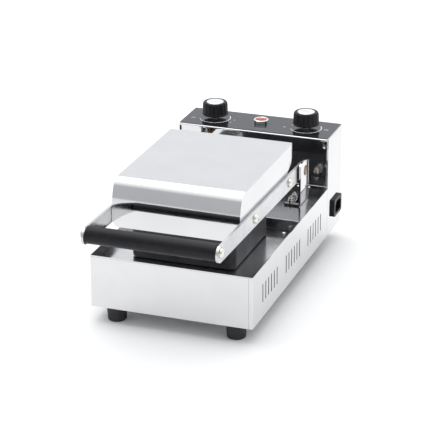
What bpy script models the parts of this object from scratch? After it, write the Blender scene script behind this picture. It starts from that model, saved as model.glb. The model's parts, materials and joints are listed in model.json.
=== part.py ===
"""Donut maker: a stainless base with a control box, and a lid that swings on two arms.

Metres, +Z up. The model is laid out with x = 0 on the base's centre plane, y = 0 on its
front wall and z = 0 on the table; at the end everything is shifted so that the origin is
under the middle of the whole object. The front is -Y, the right side is +X.
"""

import math

import bmesh
import bpy
from mathutils import Matrix, Vector

# ---------------------------------------------------------------- driving sizes
GAP = 0.0003                    # clearance between pieces that touch
SHEET = 0.0012                  # stainless sheet of the casing
FOOT_HEIGHT = 0.025
HALF_WIDTH = 0.125              # base and control box
BASE_TOP = FOOT_HEIGHT + 0.0806
BOX_FRONT = 0.368               # seam between the base and the control box
BOX_REAR = 0.4435
BOX_TOP = FOOT_HEIGHT + 0.1637
WALL_INSIDE = HALF_WIDTH - SHEET - GAP

DECK_SHEET = 0.0010
DECK_FLOOR = FOOT_HEIGHT + 0.0635   # recessed front part of the deck, top face
DECK_REAR = BASE_TOP - 0.0006       # raised rear part of the deck, top face
DECK_STEP_Y = 0.224

CAST_HALF = 0.0805              # half the width of the cast plates
CAST_FRONT, CAST_REAR = 0.050, 0.203
CAST_MID_Y = (CAST_FRONT + CAST_REAR) / 2
CAST_CORNER = 0.010
PARTING = FOOT_HEIGHT + 0.1008  # top of the lower cast plate
LOWER_BOTTOM = DECK_FLOOR + GAP
UPPER_BOTTOM = PARTING + 0.0005
UPPER_TOP = UPPER_BOTTOM + 0.0305
RING_OUTER, RING_INNER, RING_DEPTH = 0.033, 0.011, 0.0135   # one donut cavity
RING_PITCH_X, RING_PITCH_Y = 0.075, 0.072
POCKET_HALF = Vector((0.066, 0.060))    # recess for the heater in each cast plate
POCKET_DEPTH = 0.0122
HEATER_RADIUS = 0.00425

HOOD_HALF = 0.0978
HOOD_FRONT, HOOD_REAR = 0.0210, 0.264   # the front is measured at its lower edge
HOOD_BOTTOM = FOOT_HEIGHT + 0.127       # lower edge of the sides
HOOD_LIP = FOOT_HEIGHT + 0.1215         # lower edge of the front
HOOD_TOP = FOOT_HEIGHT + 0.191
HOOD_CROWN_Y = 0.0500           # where the flat top starts to roll over into the front
HOOD_CORNER = 0.0110            # rounding of the front's lower corners
HOOD_TAIL = FOOT_HEIGHT + 0.158 # lower edge of the hood at the rear
FRAME_Z = FOOT_HEIGHT + 0.145   # cross frame that carries the upper cast plate

PIVOT = Vector((0.0, 0.305, FOOT_HEIGHT + 0.1325))
HANDLE = Vector((0.0, -0.068, FOOT_HEIGHT + 0.1435))
ARM_INNER, ARM_OUTER = 0.0982, 0.1020
ARM_HALF_HEIGHT = 0.0125
ARM_DROP = 0.0020               # the arms' centre line runs this far below the handle's rod
HOOD_BOLT_Y = (0.079, 0.241)
HANDLE_RADIUS = 0.0128
PIN_RADIUS = 0.0055
PIN_HOLE = 0.0080               # oversize on purpose, so that the lid can float
BRACKET_INNER, BRACKET_OUTER = 0.1042, 0.1070
BRACKET_FRONT, BRACKET_REAR = 0.282, 0.323
BRACKET_FOOT_END = 0.0805
BRACKET_BOLTS = ((0.0875, 0.2955), (0.0875, 0.3125))

FASCIA_SHEET = 0.0005
FASCIA_TOP = BOX_TOP + GAP + FASCIA_SHEET
LIP_FRONT, LIP_DROP = 0.3645, 0.0032    # front edge of the box's top, folded down
KNOB_X, KNOB_Y = 0.0765, 0.4050
KNOB_GAP = 0.0070               # the knobs stand clear of the fascia, on their bushes
KNOB_HEIGHT = 0.0208
SHAFT_RADIUS = 0.003
LAMP_X, LAMP_Y = 0.0010, 0.4065

ORIGIN = Vector((0.004, 0.180375, 0))   # under the middle of the whole object, to within 2 mm

INLET_MID = Vector((HALF_WIDTH, 0.4145, FOOT_HEIGHT + 0.0365))
INLET_WIDTH, INLET_HEIGHT, INLET_PROUD = 0.0400, 0.0285, 0.0044
INLET_BODY = Vector((0.0176, 0.0124))   # half sizes of the part that goes through the wall
SOCKET_WIDTH, SOCKET_HEIGHT = 0.0300, 0.0195

FOOT_PLACES = [(sx * 0.093, y) for y in (0.0225, 0.3215) for sx in (-1, 1)]


# ---------------------------------------------------------------- materials
def material(name, colour, roughness, metallic):
    """A Principled material, made once for each name."""
    found = bpy.data.materials.get(name)
    if found:
        return found
    made = bpy.data.materials.new(name)
    made.use_nodes = True
    shader = made.node_tree.nodes["Principled BSDF"]
    shader.inputs["Base Color"].default_value = (*colour, 1.0)
    shader.inputs["Roughness"].default_value = roughness
    shader.inputs["Metallic"].default_value = metallic
    made.diffuse_color = (*colour, 1.0)
    return made


def polished():
    return material("polished_stainless", (0.82, 0.83, 0.85), 0.06, 1.0)


def plain_steel():
    return material("plain_stainless", (0.66, 0.66, 0.68), 0.28, 1.0)


def galvanised():
    return material("galvanised_steel", (0.55, 0.56, 0.57), 0.45, 1.0)


def zinc():
    return material("zinc_plated_steel", (0.74, 0.72, 0.68), 0.25, 1.0)


def cast_black():
    return material("nonstick_cast_aluminium", (0.030, 0.030, 0.034), 0.45, 0.1)


def black_plastic():
    return material("black_plastic", (0.018, 0.018, 0.020), 0.35, 0.0)


def heater_sheath():
    return material("heater_sheath", (0.16, 0.15, 0.14), 0.5, 1.0)


# ---------------------------------------------------------------- shape tools
def make_object(name, bm, look, smooth=True):
    """Turns a bmesh into the named object, with round stretches shaded smooth."""
    bmesh.ops.recalc_face_normals(bm, faces=bm.faces)
    mesh = bpy.data.meshes.new(name)
    bm.to_mesh(mesh)
    bm.free()
    if smooth:
        mesh.shade_smooth()
        mesh.set_sharp_from_angle(angle=math.radians(30))
    if look:
        mesh.materials.append(look)
    made = bpy.data.objects.new(name, mesh)
    bpy.context.scene.collection.objects.link(made)
    return made


def axes_matrix(axis):
    """Rotation that takes a shape drawn in XY and extruded along +Z to stand along an axis.

    The drawing's x and y become: world x and y for "Z", y and z for "X", x and z for "Y".
    """
    columns = {
        "Z": (Vector((1, 0, 0)), Vector((0, 1, 0)), Vector((0, 0, 1))),
        "X": (Vector((0, 1, 0)), Vector((0, 0, 1)), Vector((1, 0, 0))),
        "Y": (Vector((1, 0, 0)), Vector((0, 0, 1)), Vector((0, 1, 0))),
    }[axis]
    return Matrix(columns).transposed().to_4x4()


def add_prism(bm, outline, start, end, axis):
    """Extrudes a closed outline of (a, b) points from start to end along an axis."""
    turn = axes_matrix(axis)
    low = [bm.verts.new(turn @ Vector((a, b, start))) for a, b in outline]
    high = [bm.verts.new(turn @ Vector((a, b, end))) for a, b in outline]
    count = len(outline)
    bm.faces.new(low)
    bm.faces.new(high[::-1])
    for i in range(count):
        bm.faces.new((low[i], high[i], high[(i + 1) % count], low[(i + 1) % count]))


def prism(name, outline, start, end, axis, look=None, smooth=True):
    bm = bmesh.new()
    add_prism(bm, outline, start, end, axis)
    return make_object(name, bm, look, smooth)


def box(name, low, high, look=None):
    outline = ((low[0], low[1]), (high[0], low[1]), (high[0], high[1]), (low[0], high[1]))
    return prism(name, outline, low[2], high[2], "Z", look, smooth=False)


def rounded(points, radius, steps=5):
    """A polygon with its corners rounded; radius is one number, or one for each corner."""
    count = len(points)
    radii = radius if isinstance(radius, (list, tuple)) else [radius] * count
    outline = []
    for i in range(count):
        corner = Vector(points[i])
        before = (Vector(points[i - 1]) - corner).normalized()
        after = (Vector(points[(i + 1) % count]) - corner).normalized()
        outline += fillet(corner, before, after, radii[i], steps)
    return outline


def fillet(corner, before, after, radius, steps):
    """Points of the arc that rounds one corner, between its two directions."""
    if radius <= 0:
        return [tuple(corner)]
    half = before.angle(after) / 2
    centre = corner + (before + after).normalized() * radius / math.sin(half)
    first = corner + before * radius / math.tan(half) - centre
    last = corner + after * radius / math.tan(half) - centre
    turn = first.angle_signed(last)
    arc = []
    for step in range(steps + 1):
        spun = first.copy()
        spun.rotate(Matrix.Rotation(-turn * step / steps, 2))
        arc.append(tuple(centre + spun))
    return arc


def rectangle(mid_a, mid_b, half_a, half_b, radius=0.0, steps=4):
    points = [(mid_a + sa * half_a, mid_b + sb * half_b) for sa, sb in ((-1, -1), (1, -1), (1, 1), (-1, 1))]
    return rounded(points, radius, steps)


def circle(mid_a, mid_b, radius, segments=24):
    return [
        (mid_a + radius * math.cos(math.tau * i / segments), mid_b + radius * math.sin(math.tau * i / segments))
        for i in range(segments)
    ]


def stadium(first, last, radius, steps=10):
    """A slot shape: two half circles round two points, joined by straight sides."""
    first, last = Vector(first), Vector(last)
    heading = math.atan2(last.y - first.y, last.x - first.x)
    outline = []
    for centre, start in ((last, heading - math.pi / 2), (first, heading + math.pi / 2)):
        for step in range(steps + 1):
            angle = start + math.pi * step / steps
            outline.append((centre.x + radius * math.cos(angle), centre.y + radius * math.sin(angle)))
    return outline


def sheet_outline(centreline, thickness, bend=0.0, steps=5):
    """Outline of a folded sheet: a polyline of its outer face, thickened to the left."""
    outer = [Vector(p) for p in centreline]
    inner = []
    for i, point in enumerate(outer):
        into = (point - outer[i - 1]).normalized() if i else (outer[1] - point).normalized()
        out = (outer[i + 1] - point).normalized() if i + 1 < len(outer) else into
        normal = (Vector((-into.y, into.x)) + Vector((-out.y, out.x))).normalized()
        stretch = 1 / max(normal.dot(Vector((-into.y, into.x))), 0.2)
        inner.append(point + normal * thickness * stretch)
    points = [tuple(p) for p in outer] + [tuple(p) for p in reversed(inner)]
    count = len(outer)
    radii = [0.0] * (2 * count)
    for i in range(1, count - 1):
        into, out = outer[i] - outer[i - 1], outer[i + 1] - outer[i]
        turns_left = into.x * out.y - into.y * out.x > 0
        own = bend[i] if isinstance(bend, (list, tuple)) else bend
        if own:
            radii[i] = own
            radii[2 * count - 1 - i] = max(own - thickness, 0.0002) if turns_left else own + thickness
    return rounded(points, radii, steps)


def add_lathe(bm, profile, origin, axis, segments):
    """Spins a closed profile of (radius, height) points round an axis through origin."""
    turn = axes_matrix(axis)
    rings = []
    for radius, height in profile:
        if radius < 1e-7:
            rings.append([bm.verts.new(origin + turn @ Vector((0, 0, height)))])
            continue
        ring = []
        for i in range(segments):
            angle = math.tau * i / segments
            point = Vector((radius * math.cos(angle), radius * math.sin(angle), height))
            ring.append(bm.verts.new(origin + turn @ point))
        rings.append(ring)
    closed = profile[0][0] > 1e-7
    for k in range(len(rings) - (0 if closed else 1)):
        low, high = rings[k], rings[(k + 1) % len(rings)]
        for i in range(segments):
            j = (i + 1) % segments
            if len(low) == 1:
                bm.faces.new((low[0], high[j], high[i]))
            elif len(high) == 1:
                bm.faces.new((low[i], low[j], high[0]))
            else:
                bm.faces.new((low[i], low[j], high[j], high[i]))


def lathe(name, profile, origin, axis, look=None, segments=24):
    bm = bmesh.new()
    add_lathe(bm, profile, Vector(origin), axis, segments)
    return make_object(name, bm, look)


def tube(name, points, radius, look, resolution=2):
    """A round bar that follows a list of points."""
    curve = bpy.data.curves.new(name, "CURVE")
    curve.dimensions = "3D"
    curve.bevel_depth = radius
    curve.bevel_resolution = resolution
    curve.use_fill_caps = True
    spline = curve.splines.new("POLY")
    spline.points.add(len(points) - 1)
    for slot, point in zip(spline.points, points):
        slot.co = (*point, 1.0)
    curve.materials.append(look)
    made = bpy.data.objects.new(name, curve)
    bpy.context.scene.collection.objects.link(made)
    return made


def cut(target, *cutters):
    """Takes the cutters away from the target and hides them."""
    for cutter in cutters:
        cutter.hide_render = True
        cutter.display_type = "WIRE"
        boolean = target.modifiers.new("cut_" + cutter.name, "BOOLEAN")
        boolean.operation = "DIFFERENCE"
        boolean.solver = "EXACT"
        boolean.object = cutter
    return target


def weld_on(target, *extras):
    """Adds the extras to the target, so that they are one body, and hides them."""
    for extra in extras:
        extra.hide_render = True
        extra.display_type = "WIRE"
        boolean = target.modifiers.new("add_" + extra.name, "BOOLEAN")
        boolean.operation = "UNION"
        boolean.solver = "EXACT"
        boolean.object = extra
    return target


def put_origin(point, *pieces):
    """Moves the origin of each piece to a point on its joint's axis, leaving the piece in place."""
    for piece in pieces:
        piece.data.transform(Matrix.Translation(-point))
        piece.location = point


def arm_z(y):
    """Height of the arms' centre line at a depth y: they fall slightly towards the pivot."""
    share = (y - HANDLE.y) / (PIVOT.y - HANDLE.y)
    front = HANDLE.z - ARM_DROP
    return front + share * (PIVOT.z - front)


# ---------------------------------------------------------------- base
def rubber_foot(name, x, y):
    height = FOOT_HEIGHT - GAP
    profile = [
        (0, 0.010), (0.0050, 0.010), (0.0050, 0), (0.0132, 0), (0.0140, 0.0010),
        (0.0153, height - 0.003), (0.0155, height - 0.002), (0.0155, height), (0, height),
    ]
    return lathe(name, profile, (x, y, 0), "Z", material("black_rubber", (0.022, 0.022, 0.024), 0.7, 0.0), 20)


def base_shell():
    """Front and side walls, folded from one sheet, with three groups of vent slots a side."""
    rear = BOX_FRONT - GAP
    outer = ((-HALF_WIDTH, rear), (-HALF_WIDTH, 0), (HALF_WIDTH, 0), (HALF_WIDTH, rear))
    outline = sheet_outline(outer, SHEET, 0.0020, 4)
    shell = prism("base_shell", outline, FOOT_HEIGHT, BASE_TOP, "Z", polished())
    vents = bmesh.new()
    low, high = FOOT_HEIGHT + 0.0252, FOOT_HEIGHT + 0.0508
    for group in (0.0463, 0.1560, 0.2655):
        for number in range(6):
            y = group + number * 0.0132
            slot = stadium((y, low), (y, high), 0.0016, 4)
            for side in (-1, 1):
                middle = side * (HALF_WIDTH - SHEET / 2)
                add_prism(vents, slot, middle - 0.004, middle + 0.004, "X")
    return cut(shell, make_object("vent_cutters", vents, None))


def deck_plate():
    """The deck: a recessed floor under the cast plates, a step, and the raised rear part."""
    front, rear = SHEET + GAP, BOX_FRONT - 0.0012
    outer = (
        (front, DECK_FLOOR - 0.012), (front, DECK_FLOOR), (DECK_STEP_Y, DECK_FLOOR),
        (DECK_STEP_Y, DECK_REAR), (rear, DECK_REAR), (rear, DECK_REAR - 0.012),
    )
    flipped = [(y, z) for y, z in reversed(outer)]
    outline = sheet_outline(flipped, DECK_SHEET, 0.0015, 3)
    deck = prism("deck_plate", outline, -WALL_INSIDE, WALL_INSIDE, "X", polished())
    holes = bmesh.new()
    for x, y in BRACKET_BOLTS:
        for side in (-1, 1):
            add_prism(holes, circle(side * x, y, 0.0027, 12), DECK_REAR - 0.01, DECK_REAR + 0.01, "Z")
    for x, y in lower_heater_ends():
        add_prism(holes, circle(x, y, 0.0060, 16), DECK_FLOOR - 0.005, DECK_FLOOR + 0.005, "Z")
    for x, y in deck_screw_places() + casting_screw_places():
        add_prism(holes, circle(x, y, 0.0022, 12), DECK_FLOOR - 0.005, DECK_FLOOR + 0.005, "Z")
    add_prism(holes, circle(*probe_entry(), 0.0035, 12), DECK_FLOOR - 0.005, DECK_FLOOR + 0.005, "Z")
    return cut(deck, make_object("deck_hole_cutters", holes, None))


def bottom_cover():
    """Closes the base and the control box from below, and carries the feet."""
    rise = 0.010
    outer = (
        (-WALL_INSIDE, FOOT_HEIGHT + rise), (-WALL_INSIDE, FOOT_HEIGHT),
        (WALL_INSIDE, FOOT_HEIGHT), (WALL_INSIDE, FOOT_HEIGHT + rise),
    )
    cover = prism(
        "bottom_cover", sheet_outline(outer, DECK_SHEET, 0.0015, 2),
        SHEET + GAP, BOX_REAR - 0.0030, "Y", galvanised(),
    )
    slots = bmesh.new()
    for row in range(7):
        y = 0.075 + row * 0.032
        for side in (-1, 1):
            slot = stadium((side * 0.020, y), (side * 0.065, y), 0.0025, 3)
            add_prism(slots, slot, FOOT_HEIGHT - 0.003, FOOT_HEIGHT + 0.004, "Z")
    return cut(cover, make_object("bottom_slot_cutters", slots, None))


def deck_screw_places():
    return [(-0.1035, 0.2095), (0.1035, 0.2095)]


def casting_screw_places():
    return [(-0.0725, CAST_MID_Y), (0.0725, CAST_MID_Y)]


def pan_screw(name, x, y, top):
    """A small pan head screw that goes down through a sheet."""
    profile = [
        (0, -0.0070), (0.0017, -0.0060), (0.0017, GAP), (0.0036, GAP),
        (0.0034, 0.0016), (0.0022, 0.0024), (0, 0.0027),
    ]
    return lathe(name, profile, (x, y, top), "Z", zinc(), 12)


def casting_screw(name, x, y):
    """Goes up through the deck into a blind hole in the lower cast plate."""
    profile = [
        (0, -0.0036), (0.0036, -0.0034), (0.0036, -GAP), (0.0017, -GAP),
        (0.0017, 0.0070), (0, 0.0080),
    ]
    return lathe(name, profile, (x, y, DECK_FLOOR - DECK_SHEET), "Z", zinc(), 12)


# ---------------------------------------------------------------- cooking plates
def ring_cutter(bm, x, y, face_z, into):
    """Half of a ring-shaped cavity, opening at face_z and going into the plate (+1 up, -1 down)."""
    middle, half = (RING_OUTER + RING_INNER) / 2, (RING_OUTER - RING_INNER) / 2
    proud = 0.002
    profile = [(middle - half, -into * proud)]
    steps = 6
    for step in range(steps + 1):
        angle = math.pi * (1 - step / steps)
        profile.append((middle + half * math.cos(angle), into * RING_DEPTH * math.sin(angle)))
    profile.append((middle + half, -into * proud))
    add_lathe(bm, profile, Vector((x, y, face_z)), "Z", 24)


def ring_places():
    return [
        (sx * RING_PITCH_X / 2, CAST_MID_Y + sy * RING_PITCH_Y / 2) for sx in (-1, 1) for sy in (-1, 1)
    ]


def cast_plate(name, low, high, face_z, into):
    """One non-stick cast plate: four ring cavities in one face, the heater's pocket in the other."""
    half_y = (CAST_REAR - CAST_FRONT) / 2
    back_z = high if into > 0 else low
    bm = bmesh.new()
    add_prism(bm, rectangle(0, CAST_MID_Y, CAST_HALF, half_y, CAST_CORNER, 5), low, high, "Z")
    bmesh.ops.recalc_face_normals(bm, faces=bm.faces)
    back = [f for f in bm.faces if abs(f.normal.z) > 0.9 and abs(f.calc_center_median().z - back_z) < 1e-5]
    bmesh.ops.bevel(bm, geom=list(back[0].edges), offset=0.0035, segments=3, profile=0.5, affect="EDGES")
    plate = make_object(name, bm, cast_black())
    rings = bmesh.new()
    for x, y in ring_places():
        ring_cutter(rings, x, y, face_z, into)
    depth = sorted((back_z + into * 0.002, back_z - into * POCKET_DEPTH))
    pocket = prism(
        name + "_pocket_cutter", rectangle(0, CAST_MID_Y, *POCKET_HALF, 0.006, 3), depth[0], depth[1], "Z"
    )
    return cut(plate, make_object(name + "_ring_cutters", rings, None), pocket)


def heater_path(z, ends_x, leg_y, rise):
    """An M-shaped heater loop in a level plane, whose two ends turn up or down by rise."""
    reach_x, reach_y, valley = 0.056, 0.049, 0.020
    corners = [
        (-ends_x, leg_y), (-ends_x, CAST_MID_Y + valley),
        (-reach_x, CAST_MID_Y + valley), (-reach_x, CAST_MID_Y - reach_y),
        (reach_x, CAST_MID_Y - reach_y), (reach_x, CAST_MID_Y + valley),
        (ends_x, CAST_MID_Y + valley), (ends_x, leg_y),
    ]
    level = []
    for i, corner in enumerate(corners):
        if 0 < i < len(corners) - 1:
            here = Vector(corner)
            before, after = Vector(corners[i - 1]) - here, Vector(corners[i + 1]) - here
            level += fillet(here, before.normalized(), after.normalized(), 0.010, 5)
    points = [Vector((x, y, z)) for x, y in level]
    bend = 0.007

    def riser(x, inward_y):
        arc = []
        for step in range(5):
            angle = math.pi / 2 * step / 4
            y = inward_y - bend * (1 - math.sin(angle))
            arc.append(Vector((x, y, z + math.copysign(bend, rise) * (1 - math.cos(angle)))))
        arc.append(Vector((x, inward_y, z + rise)))
        return arc

    # the two ends leave the loop towards the rear, then turn square out of the plate
    left = list(reversed(riser(-ends_x, leg_y)))
    right = riser(ends_x, leg_y)
    return left + points + right


LOWER_HEATER_Z = LOWER_BOTTOM + POCKET_DEPTH - HEATER_RADIUS - GAP
UPPER_HEATER_Z = UPPER_TOP - POCKET_DEPTH + HEATER_RADIUS + GAP
HEATER_ENDS_X, HEATER_ENDS_Y = 0.016, CAST_MID_Y + 0.047


def lower_heater_ends():
    return [(-HEATER_ENDS_X, HEATER_ENDS_Y), (HEATER_ENDS_X, HEATER_ENDS_Y)]


def probe_entry():
    return (0.046, CAST_MID_Y + 0.052)


def clamp_plate(name, z, half_height=0.0006):
    """Sheet that closes the heater's pocket and holds the heater against the casting."""
    plate = prism(
        name, rectangle(0, CAST_MID_Y, POCKET_HALF.x - 0.0006, POCKET_HALF.y - 0.0006, 0.0055, 3),
        z - half_height, z + half_height, "Z", galvanised(),
    )
    holes = bmesh.new()
    for x, y in lower_heater_ends():
        add_prism(holes, circle(x, y, 0.0060, 16), z - 0.005, z + 0.005, "Z")
    add_prism(holes, circle(*probe_entry(), 0.0035, 12), z - 0.005, z + 0.005, "Z")
    return cut(plate, make_object(name + "_cutters", holes, None))


def lower_plate_group():
    plate = cast_plate("lower_cooking_plate", LOWER_BOTTOM, PARTING, PARTING, -1)
    holes = bmesh.new()
    for x, y in casting_screw_places():
        add_prism(holes, circle(x, y, 0.0022, 12), LOWER_BOTTOM - 0.003, LOWER_BOTTOM + 0.010, "Z")
    cut(plate, make_object("lower_plate_hole_cutters", holes, None))
    path = heater_path(LOWER_HEATER_Z, HEATER_ENDS_X, HEATER_ENDS_Y, -0.030)
    tube("lower_heater", path, HEATER_RADIUS, heater_sheath(), 1)
    clamp_plate("lower_heater_clamp", LOWER_BOTTOM + 0.0012)
    for number, (x, y) in enumerate(casting_screw_places(), 1):
        casting_screw(f"casting_screw_{number}", x, y)


# ---------------------------------------------------------------- control box
def control_housing():
    """Sides and top of the control box, folded from one sheet."""
    outer = (
        (-HALF_WIDTH, FOOT_HEIGHT), (-HALF_WIDTH, BOX_TOP), (HALF_WIDTH, BOX_TOP), (HALF_WIDTH, FOOT_HEIGHT),
    )
    flipped = list(reversed(outer))
    outline = sheet_outline(flipped, SHEET, 0.0020, 4)
    housing = prism("control_housing", outline, BOX_FRONT, BOX_REAR, "Y", polished())
    under = BOX_TOP - SHEET
    lip = [
        (BOX_FRONT + 0.001, under), (LIP_FRONT + SHEET, under), (LIP_FRONT + SHEET, BOX_TOP - LIP_DROP),
        (LIP_FRONT, BOX_TOP - LIP_DROP), (LIP_FRONT, BOX_TOP), (BOX_FRONT + 0.001, BOX_TOP),
    ]
    lip = rounded(lip[::-1], [0, 0.0018, 0, 0, 0.0006, 0], 4)
    weld_on(housing, prism("housing_lip", lip, 0.002 - HALF_WIDTH, HALF_WIDTH - 0.002, "X"))
    holes = bmesh.new()
    for side in (-1, 1):
        add_prism(holes, circle(side * KNOB_X, KNOB_Y, 0.0050, 16), BOX_TOP - 0.004, BOX_TOP + 0.004, "Z")
    add_prism(holes, circle(LAMP_X, LAMP_Y, 0.0068, 20), BOX_TOP - 0.004, BOX_TOP + 0.004, "Z")
    inlet = rectangle(INLET_MID.y, INLET_MID.z, INLET_BODY.x + GAP, INLET_BODY.y + GAP, 0.001, 2)
    add_prism(holes, inlet, HALF_WIDTH - 0.006, HALF_WIDTH + 0.006, "X")
    return cut(housing, make_object("housing_hole_cutters", holes, None))


def control_front_panel():
    """Polished panel behind the lid, with a foot that turns forward onto the deck."""
    y, foot_z = BOX_FRONT + 0.0053, BASE_TOP + 0.0002
    outer = ((BOX_FRONT - 0.0003, foot_z), (y, foot_z), (y, BOX_TOP - SHEET - GAP))
    return prism(
        "control_front_panel", sheet_outline(outer, DECK_SHEET, 0.0014, 3),
        -WALL_INSIDE, WALL_INSIDE, "X", polished(),
    )


def rear_panel():
    """Back of the control box, with two rows of cooling slots."""
    low, high = FOOT_HEIGHT + 0.0015, BOX_TOP - SHEET - GAP
    panel = box(
        "rear_panel", (-WALL_INSIDE, BOX_REAR - 0.0024, low), (WALL_INSIDE, BOX_REAR - 0.0012, high), plain_steel()
    )
    slots = bmesh.new()
    for row in (0.050, 0.120):
        for number in range(9):
            x = (number - 4) * 0.018
            slot = stadium((x, FOOT_HEIGHT + row - 0.010), (x, FOOT_HEIGHT + row + 0.010), 0.0018, 3)
            add_prism(slots, slot, BOX_REAR - 0.006, BOX_REAR + 0.003, "Y")
    return cut(panel, make_object("rear_slot_cutters", slots, None))


def control_fascia():
    """Glossy black cover on the steel top, which carries the dials."""
    front, rear = LIP_FRONT + 0.0018, BOX_REAR - 0.0010
    low = BOX_TOP + GAP
    fascia = prism(
        "control_fascia", rectangle(0, (front + rear) / 2, HALF_WIDTH - 0.0014, (rear - front) / 2, 0.0012, 3),
        low, FASCIA_TOP, "Z",
        material("gloss_black_fascia", (0.020, 0.020, 0.024), 0.12, 0.0),
    )
    holes = bmesh.new()
    for side in (-1, 1):
        add_prism(holes, circle(side * KNOB_X, KNOB_Y, 0.0050, 16), low - 0.004, low + 0.004, "Z")
    add_prism(holes, circle(LAMP_X, LAMP_Y, 0.0068, 20), low - 0.004, low + 0.004, "Z")
    return cut(fascia, make_object("fascia_hole_cutters", holes, None))


def knob(name, x):
    """A fluted knob with a wide skirt, a bore for its shaft and a recess for its cap."""
    flutes, per_flute = 16, 3
    low = FASCIA_TOP + KNOB_GAP
    levels = (      # height above the knob's lowest face, radius, depth of the flutes
        (0.0, 0.0206, 0), (0.0006, 0.0213, 0), (0.0018, 0.0213, 0), (0.0034, 0.0205, 0.0008),
        (KNOB_HEIGHT - 0.0034, 0.0200, 0.0008), (KNOB_HEIGHT - 0.0012, 0.0189, 0.0003),
        (KNOB_HEIGHT, 0.0163, 0), (KNOB_HEIGHT, 0.0150, 0), (KNOB_HEIGHT - 0.0012, 0.0150, 0),
    )
    bm = bmesh.new()
    rings = []
    for height, radius, depth in levels:
        ring = []
        for i in range(flutes * per_flute):
            angle = math.tau * i / (flutes * per_flute)
            reach = radius - depth * (0.5 - 0.5 * math.cos(angle * flutes))
            ring.append(bm.verts.new((x + reach * math.cos(angle), KNOB_Y + reach * math.sin(angle), low + height)))
        rings.append(ring)
    count = flutes * per_flute
    bm.faces.new(rings[0])
    bm.faces.new(rings[-1][::-1])
    for lower, upper in zip(rings, rings[1:]):
        for i in range(count):
            bm.faces.new((lower[i], upper[i], upper[(i + 1) % count], lower[(i + 1) % count]))
    made = make_object(name, bm, black_plastic())
    bore = prism(name + "_bore_cutter", circle(x, KNOB_Y, SHAFT_RADIUS + GAP, 16), low - 0.002, low + 0.0150, "Z")
    put_origin(Vector((x, KNOB_Y, low)), made)
    return cut(made, bore)


def knob_cap(name, x):
    """Bright metal disc set in the top of a knob."""
    bottom = KNOB_HEIGHT - 0.0012 + GAP
    top = KNOB_HEIGHT + 0.0007
    profile = [(0, bottom), (0.0147, bottom), (0.0147, top - 0.0004), (0.0142, top), (0, top)]
    base = Vector((x, KNOB_Y, FASCIA_TOP + KNOB_GAP))
    made = lathe(name, profile, base, "Z", material("bright_cap", (0.88, 0.88, 0.88), 0.25, 0.6), 32)
    put_origin(base, made)
    return made


def knob_shaft(name, x):
    """The spindle that the knob turns, from inside the switch up into the knob's bore."""
    low, high = BOX_TOP - 0.012, FASCIA_TOP + KNOB_GAP + 0.0150 - GAP
    profile = [(0, 0), (SHAFT_RADIUS, 0), (SHAFT_RADIUS, high - low), (0, high - low)]
    made = lathe(name, profile, (x, KNOB_Y, low), "Z", zinc(), 16)
    put_origin(Vector((x, KNOB_Y, FASCIA_TOP + KNOB_GAP)), made)
    return made


def switch_body(name, x, half, depth):
    """Timer or thermostat under the top, with the spindle's bush sticking up through it."""
    top = BOX_TOP - SHEET - GAP
    bm = bmesh.new()
    add_prism(bm, rectangle(x, KNOB_Y, half, min(half, 0.020), 0.003, 2), top - depth, top, "Z")
    made = make_object(name, bm, galvanised())
    weld_on(made, prism(name + "_bush", circle(x, KNOB_Y, 0.0046, 16), top - 0.004, FASCIA_TOP + 0.0058, "Z"))
    bore = prism(
        name + "_bore_cutter", circle(x, KNOB_Y, SHAFT_RADIUS + GAP, 16), BOX_TOP - 0.0125, FASCIA_TOP + 0.01, "Z"
    )
    return cut(made, bore)


def pilot_lamp():
    """Lamp in the top: a chromed ring with a tube below it, and an orange lens inside."""
    ring = [
        (0.0051, -0.0160), (0.0051, 0.0018), (0.0090, 0.0022), (0.0090, 0.0056), (0.0096, 0.0062),
        (0.0109, 0.0062), (0.01175, 0.0053), (0.01175, GAP), (0.0065, GAP), (0.0065, -0.0160),
    ]
    chrome = material("chrome", (0.85, 0.85, 0.87), 0.08, 1.0)
    lathe("pilot_lamp_bezel", ring, (LAMP_X, LAMP_Y, FASCIA_TOP), "Z", chrome, 28)
    lens = [
        (0, -0.0150), (0.0048, -0.0150), (0.0048, 0.0025), (0.0087, 0.0025), (0.0087, 0.0046),
        (0.0072, 0.0056), (0.0038, 0.0063), (0, 0.0065),
    ]
    orange = material("orange_lens", (0.85, 0.16, 0.03), 0.15, 0.0)
    lathe("pilot_lamp_lens", lens, (LAMP_X, LAMP_Y, FASCIA_TOP), "Z", orange, 28)


def power_inlet():
    """Appliance inlet in the right side: a flanged housing, open outwards, with three pins."""
    outside = HALF_WIDTH + GAP
    flange = rectangle(INLET_MID.y, INLET_MID.z, INLET_WIDTH / 2, INLET_HEIGHT / 2, 0.003, 3)
    body = prism("power_inlet", flange, outside, HALF_WIDTH + INLET_PROUD, "X", black_plastic())
    through = rectangle(INLET_MID.y, INLET_MID.z, INLET_BODY.x, INLET_BODY.y, 0.001, 2)
    weld_on(body, prism("power_inlet_rear", through, HALF_WIDTH - 0.0160, HALF_WIDTH + 0.002, "X"))
    half_y, half_z, chamfer = SOCKET_WIDTH / 2, SOCKET_HEIGHT / 2, 0.0055
    socket = [
        (-half_y, -half_z), (half_y, -half_z), (half_y, half_z - chamfer), (half_y - chamfer, half_z),
        (chamfer - half_y, half_z), (-half_y, half_z - chamfer),
    ]
    socket = [(INLET_MID.y + a, INLET_MID.z + b) for a, b in socket]
    inside, beyond = HALF_WIDTH - 0.0135, HALF_WIDTH + INLET_PROUD + 0.002
    cutter = prism("socket_cutter", socket, inside, beyond, "X", smooth=False)
    slots = bmesh.new()
    for dy, dz in pin_places():
        pin = rectangle(INLET_MID.y + dy, INLET_MID.z + dz, 0.0013, 0.0023)
        add_prism(slots, pin, HALF_WIDTH - 0.020, HALF_WIDTH - 0.010, "X")
    cut(body, cutter, make_object("pin_slot_cutters", slots, None))
    contacts()


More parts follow.
